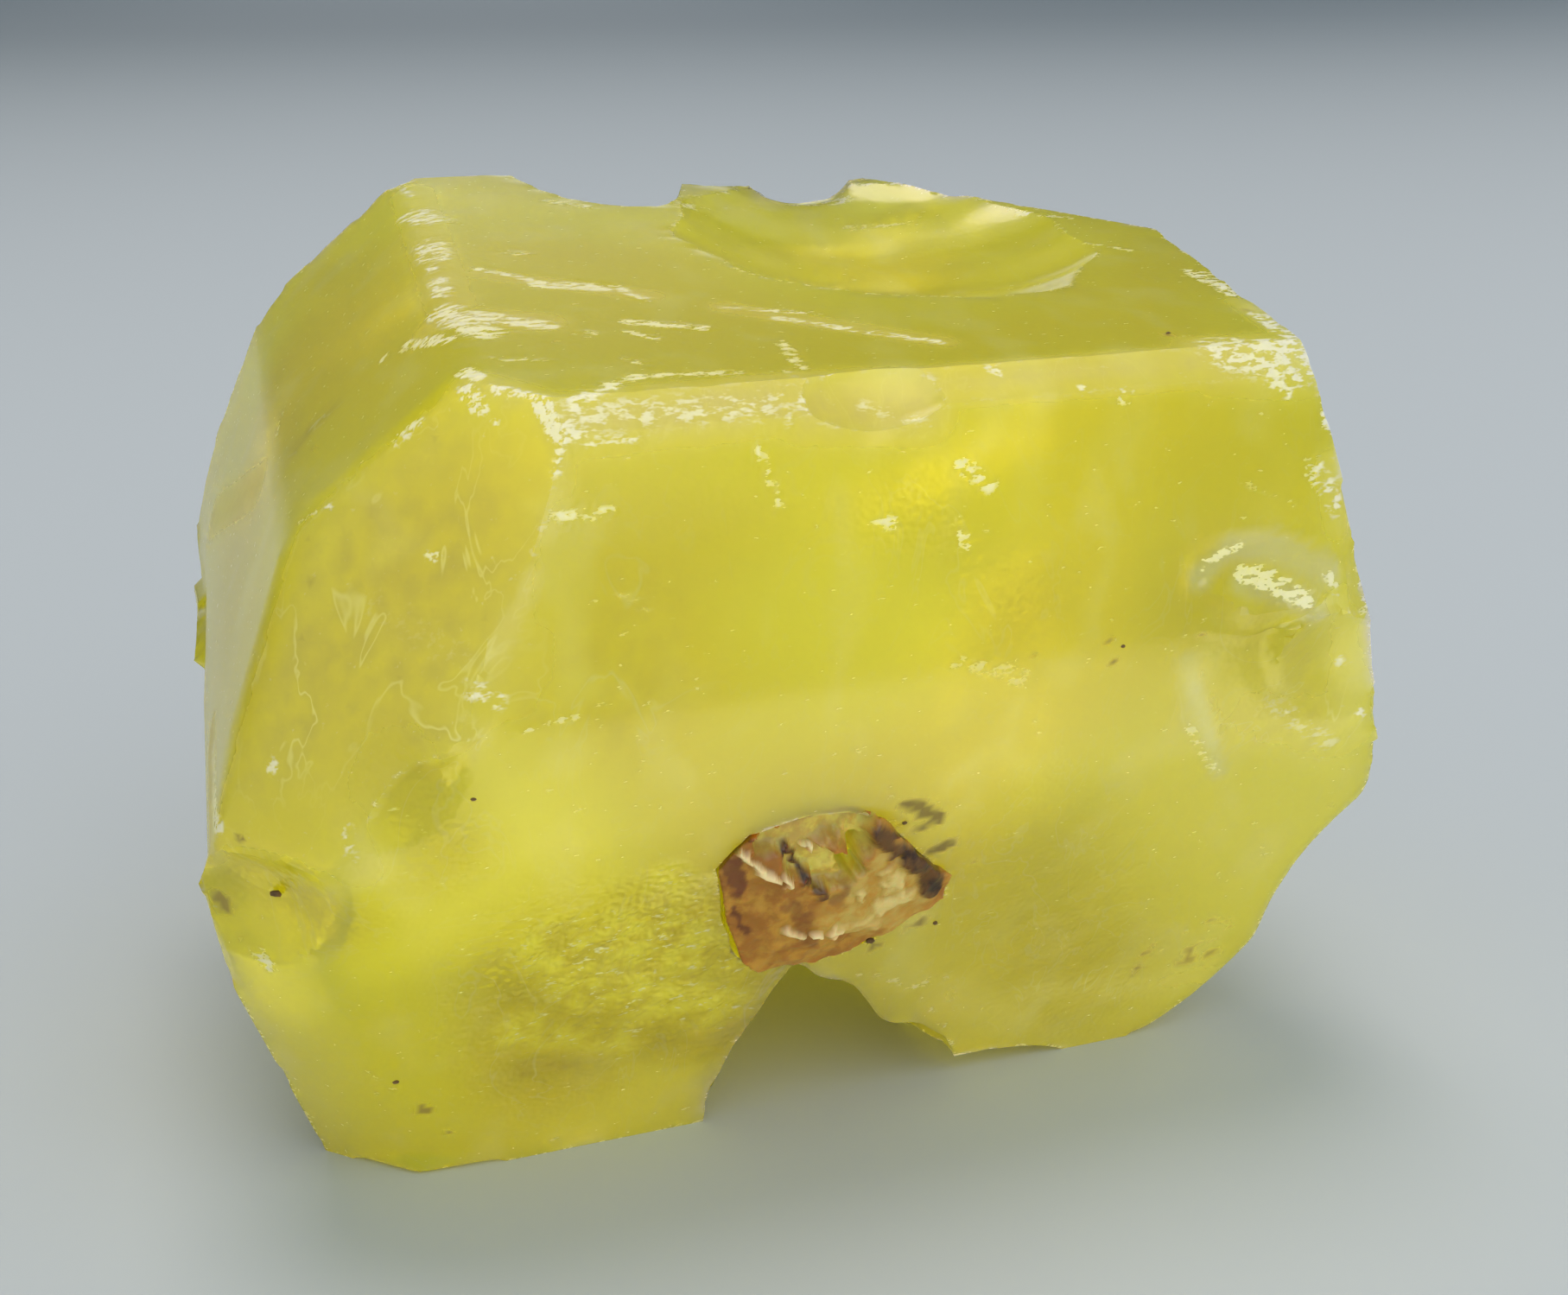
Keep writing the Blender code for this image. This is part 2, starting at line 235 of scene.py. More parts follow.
# where the skin is marked, in mm on its surface: from x, y, z to x, y, z, half width, strength
skinMarks = {
    "rubsAndGlints": (
        # these first four are painted glints: pale spots for the light off the crescent crack under the skin
        (9.4, -12.7, 15.5, 10.2, -12.7, 15.3, 0.18, 1.4),
        (10.4, -12.7, 15.1, 11.2, -12.9, 14.7, 0.18, 1.2),
        (8.1, -12.8, 15.9, 9.2, -12.8, 16.3, 0.11, 0.9),
        (11.8, -13.0, 15.3, 12.2, -13.2, 14.8, 0.14, 0.7),
        (-6.3, 7.8, 24.1, -6.5, 6.2, 23.9, 0.18, 0.6),
        (-6.9, 4.4, 23.6, -6.7, 3.5, 23.5, 0.49, 0.75),
        (-7.5, 1.3, 23.2, -7.7, 0.0, 23.0, 0.47, 0.75),
        (-8.1, -0.7, 22.9, -8.1, -1.2, 22.8, 0.14, 1),
        (-8.3, -2.1, 22.7, -8.5, -3.3, 22.5, 0.27, 0.8),
        (-8.9, -4.6, 22.3, -8.6, -6.7, 22.0, 0.47, 0.85),
        (-8.2, -5.5, 22.2, -7.0, -6.5, 22.0, 0.34, 1),
        (-9.9, -4.6, 21.4, -9.5, -6.7, 21.9, 0.19, 0.8),
        (-10.3, -3.9, 21.0, -10.2, -3.9, 21.1, 0.13, 0.8),
        (-7.0, -1.5, 22.8, -5.8, -2.9, 22.5, 0.14, 0.8),
        (-5.9, -3.1, 22.5, -4.1, -3.9, 22.4, 0.27, 0.95),
        (-4.1, -3.8, 22.4, -3.7, -5.0, 22.2, 0.16, 0.8),
        (-5.7, -0.1, 23.0, -5.4, -0.3, 22.9, 0.19, 0.6),
        (-4.9, -6.7, 22.0, -3.2, -7.6, 21.8, 0.19, 0.9),
        (-5.1, -7.5, 21.9, -4.7, -8.2, 21.8, 0.13, 0.7),
        (-6.1, -7.3, 21.9, -6.0, -7.4, 21.9, 0.11, 0.8),
        (-5.9, -9.4, 21.6, -5.8, -9.8, 21.5, 0.16, 0.7),
        (-9.1, -8.8, 21.7, -7.8, -9.2, 21.6, 0.081, 0.6),
        (-9.9, -9.4, 21.6, -9.8, -9.8, 21.5, 0.24, 1),
        (-10.1, -10.0, 21.3, -9.9, -10.5, 20.9, 0.22, 0.8),
        (-9.7, -10.9, 20.6, -9.6, -11.0, 20.5, 0.12, 0.6),
        (-9.5, -10.7, 21.3, -9.3, -10.9, 21.3, 0.18, 0.8),
        (-9.2, -11.1, 21.3, -8.7, -11.7, 21.1, 0.12, 0.8),
        (-8.8, -11.5, 21.1, -8.7, -12.1, 20.5, 0.19, 0.9),
        (-8.5, -12.2, 20.6, -7.8, -12.3, 20.2, 0.13, 0.9),
        (-7.8, -12.3, 20.3, -6.8, -12.3, 20.3, 0.12, 0.7),
        (-8.1, -11.8, 21.1, -7.1, -11.4, 21.3, 0.17, 0.8),
        (-7.0, -11.2, 21.3, -6.3, -10.8, 21.4, 0.16, 0.9),
        (-6.2, -10.8, 21.4, -3.7, -11.0, 21.3, 0.16, 0.6),
        (-8.6, -12.3, 20.4, -8.8, -12.4, 19.7, 0.12, 0.75),
        (-11.5, -9.1, 20.1, -11.1, -9.4, 20.5, 0.16, 0.7),
        (-13.0, -8.5, 18.6, -13.6, -7.6, 18.0, 0.081, 0.6),
        (-12.0, 0.2, 19.0, -12.3, -0.5, 18.7, 0.14, 0.5),
        (-8.9, -12.6, 18.7, -7.6, -12.6, 18.7, 0.15, 0.6),
        (-2.9, 4.9, 23.7, -1.9, 4.0, 23.6, 0.18, 0.6),
        (-11.3, -10.9, 17.7, -11.2, -11.0, 17.7, 0.12, 0.9),
        (-2.1, -6.1, 22.1, -0.0, -7.0, 21.9, 0.13, 0.75),
        (-1.1, -7.2, 21.9, 2.0, -9.9, 21.5, 0.19, 0.75),
        (-1.8, -9.0, 21.6, -2.2, -11.0, 21.3, 0.19, 0.55),
        (-2.6, -11.2, 21.3, -2.7, -12.2, 20.6, 0.16, 0.6),
        (-1.0, -11.9, 20.5, 0.2, -12.2, 20.2, 0.18, 0.5),
        (12.1, -5.6, 22.1, 12.0, -7.8, 21.8, 0.24, 0.85),
        (11.5, -9.6, 21.5, 11.2, -11.8, 21.2, 0.23, 0.85),
        (9.0, -11.8, 21.2, 11.0, -12.1, 20.7, 0.57, 0.8),
        (-8.1, -12.0, 20.8, -3.7, -12.1, 20.7, 0.39, 0.5),
        (10.2, -12.3, 20.3, 10.6, -12.4, 20.0, 0.18, 0.7),
        (1.3, -12.6, 19.0, 2.0, -12.7, 18.5, 0.23, 0.62),
        (1.1, -12.8, 17.7, 1.3, -12.9, 17.1, 0.14, 0.6),
        (-1.0, -12.7, 17.9, -0.6, -12.8, 17.8, 0.16, 0.6),
        (1.2, -13.4, 14.2, 2.9, -13.2, 13.4, 0.33, 0.4),
        (-7.5, -12.9, 16.9, -6.9, -13.0, 16.5, 0.27, 0.3),
        (11.3, -12.7, 18.1, 12.0, -12.9, 17.1, 0.29, 0.65),
        (11.7, -12.5, 19.3, 11.8, -12.5, 19.2, 0.11, 1),
        (9.2, -12.8, 17.9, 10.7, -12.9, 17.3, 0.18, 0.35),
        (-3.9, -12.4, 19.8, -3.4, -12.7, 18.4, 0.12, 0.55),
        (12.9, -12.2, 12.7, 13.0, -12.1, 12.6, 0.12, 1),
        (13.8, -12.0, 11.0, 14.0, -11.9, 10.9, 0.14, 1),
        (-11.0, -12.8, 15.0, -10.5, -13.3, 14.8, 0.25, 0.6),
        (-10.0, -13.4, 13.7, -8.5, -13.4, 14.1, 0.15, 0.5),
        (-13.7, -11.8, 11.8, -13.7, -12.0, 11.1, 0.2, 0.5),
        (-15.5, -5.3, 12.0, -16.3, -9.2, 11.4, 0.24, 0.8),
        (-15.3, -9.1, 7.9, -15.1, -9.0, 7.6, 0.25, 0.6),
        (-14.9, -9.8, 12.9, -14.9, -9.9, 12.9, 0.12, 0.9),
        (-12.7, -8.1, 3.8, -11.7, -7.9, 3.0, 0.2, 0.35),
        (5.9, 3.4, 22.7, 7.9, 2.9, 22.8, 0.23, 0.4),
        (0.9, 3.9, 23.5, 6.7, 5.0, 23.4, 0.2, 0.45),
        (10.6, 1.4, 23.1, 11.7, 0.3, 23.0, 0.16, 0.5),
        (10.8, -2.4, 22.6, 11.6, -3.3, 22.5, 0.12, 0.5),
        (2.5, -11.8, 21.1, 2.6, -11.9, 21.0, 0.13, 0.8),
        (4.7, -12.3, 20.5, 4.8, -12.3, 20.4, 0.13, 0.8),
        (5.8, -12.3, 20.3, 5.9, -12.4, 20.2, 0.15, 0.8),
        (8.3, -12.2, 11.4, 10.1, -11.1, 9.4, 0.16, 0.5),
        (10.8, -12.3, 11.7, 13.2, -11.5, 10.2, 0.32, 0.45),
        (-12.5, -10.3, 16.5, -11.2, -12.3, 15.7, 0.59, 0.28),
        (-12.3, 9.2, 14.4, -11.4, 9.8, 16.8, 0.21, 0.3),
        (-3.2, -11.9, 21.0, -3.1, -12.3, 20.3, 0.16, 0.5),
        (2.5, -8.3, 3.8, 3.5, -8.4, 3.9, 0.19, 0.4),
        (5.2, -12.7, 18.2, 5.4, -12.7, 18.1, 0.13, 0.5),
    ),
    # the crescent crack: glossier, and its coat paints the reflection off it
    "crescent": (
        (8.0, -12.9, 15.6, 8.8, -12.8, 16.1, 0.26, 1),
        (8.9, -12.8, 16.2, 10.3, -12.8, 16.1, 0.33, 1),
        (10.3, -12.8, 16.0, 11.9, -13.1, 15.3, 0.36, 0.9),
        (9.3, -12.7, 15.3, 10.9, -12.8, 14.8, 0.27, 1),
        (10.9, -12.8, 14.8, 11.5, -13.1, 14.3, 0.27, 0.9),
        (8.1, -12.8, 12.6, 9.9, -11.3, 9.7, 0.18, 0.8),
        (7.8, -13.1, 13.2, 8.5, -12.2, 11.5, 0.26, 0.5),
    ),
    "bloom": (
        (-8.5, -12.1, 20.7, -3.3, -12.0, 20.8, 0.58, 1),
        (-2.6, -12.1, 20.7, 0.3, -12.1, 20.4, 0.72, 0.9),
        (0.6, -11.9, 20.8, 9.5, -12.0, 20.9, 0.41, 0.8),
        (8.6, -11.9, 21.0, 11.2, -12.1, 20.8, 0.74, 0.9),
        (11.8, -8.5, 21.7, 11.2, -11.8, 21.1, 0.37, 0.6),
        (-9.3, -5.1, 22.0, -7.1, -6.2, 22.0, 0.56, 0.8),
        (-6.3, 6.8, 24.0, -8.6, -4.2, 22.3, 0.51, 0.6),
        (-10.0, -9.9, 21.5, -8.7, -11.8, 20.9, 0.44, 0.7),
        (-8.7, -12.2, 20.4, -8.7, -12.5, 19.4, 0.27, 0.6),
        (-7.0, -2.0, 22.7, -3.5, -4.7, 22.3, 0.36, 0.5),
        (-2.0, -6.1, 22.1, 2.1, -9.9, 21.5, 0.39, 0.5),
        (-12.6, -10.4, 16.2, -10.7, -12.8, 15.6, 1.4, 0.5),
        (-10.0, -11.0, 20.0, -10.1, -12.8, 16.9, 0.98, 0.25),
        (-11.9, -9.3, 19.1, -10.3, -10.8, 19.6, 0.88, 0.4),
        (-13.0, -9.8, 16.5, -12.2, -10.0, 17.4, 0.8, 0.35),
        (-12.7, -9.0, 18.3, -10.7, -10.6, 19.2, 1.2, 0.3),
        (-13.8, -11.6, 11.9, -13.5, -11.9, 10.9, 0.59, 0.6),
        (-15.3, -4.2, 12.0, -16.3, -8.9, 10.6, 0.48, 0.8),
        (-12.5, 7.1, 14.9, -12.8, -0.5, 17.4, 0.61, 0.5),
        (-15.6, -9.2, 10.4, -15.2, -9.0, 9.0, 0.62, 0.3),
        (11.9, -12.7, 18.0, 12.1, -13.0, 16.7, 0.45, 0.6),
        (12.2, -13.3, 14.5, 13.6, -12.0, 11.2, 0.59, 0.5),
        (8.1, -12.9, 12.9, 9.2, -12.0, 11.1, 0.4, 0.35),
        (10.4, -12.3, 11.7, 13.7, -11.7, 10.4, 0.91, 0.4),
        (6.0, 2.3, 22.3, 9.4, -1.8, 22.2, 1.5, 0.2),
        (-0.1, 0.9, 22.8, 5.6, 1.5, 22.0, 1.5, 0.2),
        (6.3, -7.7, 2.6, 12.6, -7.4, 1.9, 0.59, 0.3),
        (3.7, -8.0, 3.2, 6.4, -7.2, 1.6, 0.57, 0.3),
        (-9.6, -12.2, 18.7, -10.0, -13.1, 15.8, 0.58, 0.25),
    ),
    "murk": (
        (-14.3, -9.8, 14.0, -13.4, -10.4, 14.6, 0.8, 0.9),
        (-15.0, -9.8, 12.8, -14.3, -10.2, 13.5, 0.6, 0.6),
        (-12.2, -12.2, 14.0, -11.5, -13.1, 13.7, 0.51, 0.9),
        (-8.7, -8.0, 3.2, -6.5, -8.0, 3.2, 0.4, 0.8),
        (-8.6, -10.1, 7.4, -7.4, -9.6, 6.3, 0.72, 0.8),
        (-8.0, -13.2, 15.1, -6.9, -13.4, 14.0, 0.97, 0.5),
        (-7.1, -13.0, 16.6, -7.2, -13.2, 15.4, 0.97, 0.4),
        (-9.3, -13.3, 14.5, -7.7, -13.3, 13.7, 0.77, 0.4),
        (-12.7, -9.6, 17.4, -10.9, -11.2, 17.8, 1.4, 0.75),
        (-14.0, -9.4, 15.3, -11.6, -11.7, 15.8, 1.2, 0.7),
        (-11.0, -10.2, 19.6, -10.5, -11.2, 18.5, 0.99, 0.4),
        (-12.3, -3.2, 19.0, -11.6, -3.3, 19.7, 0.39, 0.9),
        (11.3, -12.2, 11.8, 13.1, -11.7, 10.5, 0.69, 0.6),
        (-16.1, -8.3, 9.1, -15.6, -8.7, 8.5, 0.33, 0.3),
        (-0.6, 0.9, 23.1, 7.6, -6.8, 22.0, 0.58, 0.35),
        (8.2, -12.4, 11.8, 10.7, -11.9, 10.8, 0.54, 0.4),
    ),
    "dirt": (
        (0.5, -11.6, 10.3, 1.5, -11.3, 9.7, 0.26, 0.95),
        (0.9, -9.4, 6.1, 2.4, -9.3, 5.7, 0.32, 0.6),
        (0.5, -11.3, 9.7, 0.6, -11.3, 9.8, 0.11, 1),
        (0.9, -11.2, 9.5, 1.4, -11.2, 9.5, 0.17, 0.8),
        (1.6, -10.8, 8.6, 2.1, -10.8, 8.8, 0.15, 0.95),
        (2.6, -10.4, 8.0, 3.0, -10.5, 8.1, 0.18, 0.8),
        (2.4, -10.9, 8.9, 2.8, -10.9, 8.8, 0.13, 0.7),
        (1.7, -9.4, 6.0, 2.1, -9.5, 6.1, 0.21, 0.9),
        (2.4, -9.5, 6.0, 2.5, -9.4, 6.0, 0.092, 1),
        (0.5, -9.3, 5.9, 0.8, -9.2, 5.5, 0.18, 0.95),
        (2.4, -9.9, 7.0, 2.6, -9.8, 6.8, 0.23, 0.5),
        (10.1, -8.1, 3.4, 12.3, -7.8, 2.7, 0.45, 0.5),
        (11.1, -8.3, 3.8, 12.0, -8.1, 3.3, 0.22, 0.6),
        (9.0, -7.9, 3.0, 10.7, -7.6, 2.3, 0.25, 0.45),
        (-16.1, -8.3, 9.4, -16.0, -8.4, 9.3, 0.17, 0.9),
        (-16.0, -8.3, 9.0, -15.9, -8.4, 9.0, 0.15, 0.9),
        (-16.2, -9.4, 11.3, -15.8, -9.9, 11.2, 0.16, 0.6),
        (-15.6, -8.7, 8.2, -15.5, -8.9, 8.2, 0.21, 0.5),
        (-11.1, -7.6, 2.4, -10.8, -7.6, 2.3, 0.13, 0.8),
        (-10.4, -7.1, 1.5, -10.3, -7.1, 1.4, 0.11, 0.8),
        (11.6, -8.6, 4.4, 12.7, -8.3, 3.8, 0.25, 0.5),
        (5.4, -13.4, 14.3, 5.5, -13.4, 14.2, 0.086, 0.9),
        (5.6, -13.2, 13.5, 5.7, -13.1, 13.3, 0.086, 0.8),
        (8.2, -10.6, 21.4, 8.2, -10.7, 21.4, 0.089, 1),
        (8.0, -13.4, 14.1, 8.1, -13.4, 14.0, 0.088, 0.7),
    ),
    # the glitter: real bumps under painted sparkles
    "glitter": (
        (-8.5, -10.2, 7.5, -7.3, -9.4, 6.0, 0.76, 1),
        (-6.6, -10.1, 7.4, -3.2, -9.2, 6.3, 0.94, 1),
        (-7.0, -9.2, 5.6, -3.4, -8.5, 4.2, 0.74, 0.9),
        (-8.7, -8.8, 4.8, -6.0, -8.4, 3.9, 0.66, 0.7),
        (-5.8, -11.0, 9.0, -3.3, -8.9, 7.4, 0.5, 0.6),
    ),
    "clear": (
        (-8.3, -9.8, 6.8, -7.5, -8.5, 4.2, 1.9, 0.9),
        (-6.6, -10.2, 7.5, -3.0, -9.3, 5.9, 1.3, 1),
        (-7.5, -8.7, 4.6, -3.3, -8.2, 3.6, 1.1, 1),
        (-12.7, -12.1, 13.1, -11.5, -12.0, 11.0, 0.98, 0.6),
        (-15.6, -9.0, 10.1, -13.7, -11.0, 9.0, 0.82, 0.5),
        (4.5, -10.3, 7.6, 7.8, -8.1, 3.3, 2.1, 0.5),
        (-0.0, -12.8, 17.9, 2.6, -13.2, 15.6, 1, 0.3),
        (8.1, -13.1, 15.0, 11.2, -12.5, 13.1, 1.3, 0.3),
    ),
}

skinSettings = {
    "flatSlack": 0.03,  # mm from a natural face's plane that still counts as on it
    "crispAngle": 20,  # degrees
    "edgeReach": 0.55,  # mm from a crisp edge that wear reaches
    "nickDepth": 0.07,
    "nickSize": 1.3,
    "breakDepth": 0.06,  # how rough the broken surfaces are
    "breakSize": 1.6,
    "rubDepth": 0.02,
    "clearDepth": 0.06,
    "clearSize": 0.6,
    "smoothings": 10,
    "bowlLow": 21.5,  # mm, where the smoothed places end
    "bowlBack": 5.5,
    "endLeft": 10.5,
    "endTop": 10,
    "soft": ("bloom", "murk", "clear"),  # marks that fade out slowly
    "glitterDepth": 0.07,
    "glitterSize": 0.5,
    # the natural faces: the way each looks, and its distance in mm from the crystal's middle
    "middle": (-1.14, 0.21, 13.4),
    "faces": {
        "top": ((0.0023, -0.1479, 0.9890), 9.5),
        "front": ((0.0, -0.9853, 0.1707), 13.54),
        "bevel": ((0.0011, -0.8056, 0.5924), 14.26),
        "frontLeft": ((-0.6862, -0.6209, 0.3790), 15.5),
        "leftSlope": ((-0.6925, 0.0390, 0.7204), 11.64),
        "left": ((-0.9284, 0.1453, 0.3420), 12.05),
        "underFront": ((-0.0014, -0.8922, -0.4516), 11.95),
        "underFrontLeft": ((-0.6883, -0.4833, -0.5410), 17.2),
        "underLeft": ((-0.9298, 0.2384, -0.2803), 13.6),
        "right": ((0.9298, -0.2384, 0.2802), 16.7),
        "backRight": ((0.6883, 0.4833, 0.5410), 14.5),
        "back": ((0.0014, 0.8922, 0.4516), 11.9),
    },
    "dulled": {"frontLeft": 0.42, "bevel": 0.5},  # faces with a coat of bloom all over, and how much
    "coatSlack": 0.08,
    "footHeight": 0.25,  # below this the flats it stands on stay flat
    # small shifts of the front notch's rim: x, z, reach along x and z, rise up the face, all in mm
    "notchDeep": -4,  # y in mm where the shifts fade out
    "notchUp": (0, -0.45, 0.89),
    "notchShifts": ((-1.6, 4.8, 0.75, 1.6, 1.5), (1.7, 3.6, 1.2, 1.6, -1.7), (3.4, 2.3, 0.9, 1.2, -0.6)),
    # meetings of two faces that are worn round, and how wide in mm
    "rounded": (
        ("front", "underFront", 2.6),
        ("frontLeft", "underFrontLeft", 2.4),
        ("underFront", "underFrontLeft", 1.8),
        ("left", "underLeft", 2.4),
        ("top", "leftSlope", 0.4),
        ("leftSlope", "frontLeft", 0.5),
        ("leftSlope", "left", 0.5),
        ("left", "frontLeft", 0.7),
    ),
}


def skinLayers(points, masks, user):
    # what the material reads at each point of the skin
    most = user["coats"]
    clouds = 0.5 + 0.5 * softNoise(points, user["cloudSize"], 21)
    grain = 0.5 + softNoise(points, user["grainSize"], 22, 0.5) / 3
    drawn = points * user["veilDraw"] + user["veilWarp"] * softNoise(points, user["veilSize"], 24)[:, None]
    veils = softNoise(drawn, user["veilSize"], 25, 0.5) / 1.5
    glassy = np.maximum(masks["clear"], 0.7 * masks["crescent"])
    return {
        "clouds": rising(clouds, 0.35, 0.65),
        "veils": most["veils"] * rising(veils, 0, 0.48),
        "shade": most["shade"] * masks["murk"] * rising(grain, 0.2, 0.8),
        "frost": most["frost"] * masks["bloom"] * (0.55 + 0.6 * grain),
        "grime": most["grime"] * rising(0.5 * masks["dirt"] + grain, 0.76, 0.95),
        "healed": np.maximum(0.6 * masks["murk"], 0.05 + 0.4 * masks["clear"]),
        # painted reflection on the crescent crack
        "lens": most["lens"] * masks["crescent"],
        "glitter": most["glitter"] * masks["glitter"],
        "grain": rising(grain, 0.35, 0.65),
        "marks": np.maximum(masks["rubsAndGlints"], user["wornShare"] * masks["wear"]),
        "bare": user["gloss"] - user["glassyGloss"] * glassy,
        "seeThrough": user["seeThrough"] + 0.34 * masks["clear"] - 0.35 * masks["glitter"],
        "relief": 0.12 + 1.5 * np.maximum(masks["clear"], 2 * masks["glitter"]) + 0.8 * masks["rubsAndGlints"],
    }


def edgeDistance(mesh, points, angle):
    # how far each point is from the nearest crisp edge
    skin = bmesh.new()
    skin.from_mesh(mesh)
    crisp = [e for e in skin.edges if len(e.link_faces) == 2 and e.calc_face_angle(0) > angle]
    tree = KDTree(len(crisp))
    for i, edge in enumerate(crisp):
        tree.insert((edge.verts[0].co + edge.verts[1].co) / 2 / mm, i)
    tree.balance()
    skin.free()
    return np.array([tree.find(p)[2] for p in points])


def weatherSkin(mesh, user):
    points = vertexVectors(mesh, "co") / mm
    normals = vertexVectors(mesh, "normal")
    forward = np.clip((user["notchDeep"] - points[:, 1]) / 4, 0, 1)
    forward *= np.clip(points[:, 2] - user["footHeight"], 0, 1)
    for x, z, wide, tall, rise in user["notchShifts"]:
        near = np.exp(-(((points[:, 0] - x) / wide) ** 2) - ((points[:, 2] - z) / tall) ** 2)
        points += (rise * near * forward)[:, None] * user["notchUp"]

    masks = {name: markMask(points, marks, name in user["soft"]) for name, marks in skinMarks.items()}
    away = edgeDistance(mesh, points, math.radians(user["crispAngle"]))
    masks["wear"] = np.clip(1 - away / user["edgeReach"], 0, 1) ** 2
    height = {}  # of each point over each natural face
    for name, (way, distance) in user["faces"].items():
        height[name] = (points - user["middle"]) @ np.array(way) - distance
    for name, share in user["dulled"].items():
        onFace = np.clip(1.5 - np.abs(height[name]) / user["coatSlack"], 0, 1)
        masks["bloom"] = np.maximum(masks["bloom"], share * onFace)
    fromPlane = np.min(np.abs(list(height.values())), axis=0)
    masks["broken"] = np.clip(fromPlane / user["flatSlack"] - 1, 0, 1)

    nicks = softNoise(points, user["nickSize"], 1, 0.5, 2.3)
    rough = softNoise(points, user["breakSize"], 3, 0.45, 2.2)
    bumps = softNoise(points, user["clearSize"], 5, 0.5)
    inward = user["breakDepth"] * masks["broken"] * (0.5 + rough)
    inward += user["clearDepth"] * masks["clear"] * (0.5 + bumps)
    inward += user["glitterDepth"] * masks["glitter"] * (0.5 + softNoise(points, user["glitterSize"], 7))
    inward += user["rubDepth"] * masks["rubsAndGlints"] * np.clip(0.5 + nicks, 0, 1)
    sunk = np.zeros(len(points))
    for one, other, width in user["rounded"]:
        # a fillet: the nearer a point is to both planes, the further it sinks
        near = np.clip(width - np.abs(height[one] - height[other]), 0, None) / width
        near *= np.maximum(height[one], height[other]) > -0.3
        sunk = np.maximum(sunk, near**2 * width / 4)
    masks["wear"] *= np.clip(1 - sunk / 0.04, 0, 1)
    inward += sunk + user["nickDepth"] * masks["wear"] * np.clip(nicks * 2 - 0.1, 0, 1)
    inward[points[:, 2] < user["footHeight"]] = 0
    moved = points - normals * inward[:, None]
    moved[:, 2] = np.maximum(moved[:, 2], 0)
    writeSkin(mesh, moved, skinLayers(points, masks, sulfurSettings))
    # the worn-round edges, the top's bowl and the lower right end are rubbed smooth
    skin = bmesh.new()
    skin.from_mesh(mesh)
    x, y, z = points.T
    worn = (sunk > 0.01) | ((masks["broken"] > 0.5) & (z > user["bowlLow"]) & (y < user["bowlBack"]))
    worn |= (x > user["endLeft"]) & (z < user["endTop"])
    wornCorners = [v for v, chosen in zip(skin.verts, worn) if chosen]
    axes = {"use_axis_x": True, "use_axis_y": True, "use_axis_z": True}
    for _ in range(user["smoothings"]):
        bmesh.ops.smooth_vert(skin, verts=wornCorners, factor=0.5, **axes)
    skin.to_mesh(mesh)
    skin.free()


weatherSkin(crystalMesh, skinSettings)
crystalMesh.set_sharp_from_angle(angle=math.radians(crystalSettings["sharpAngle"]))
print("crystal skin:", len(crystalMesh.polygons), "quads")


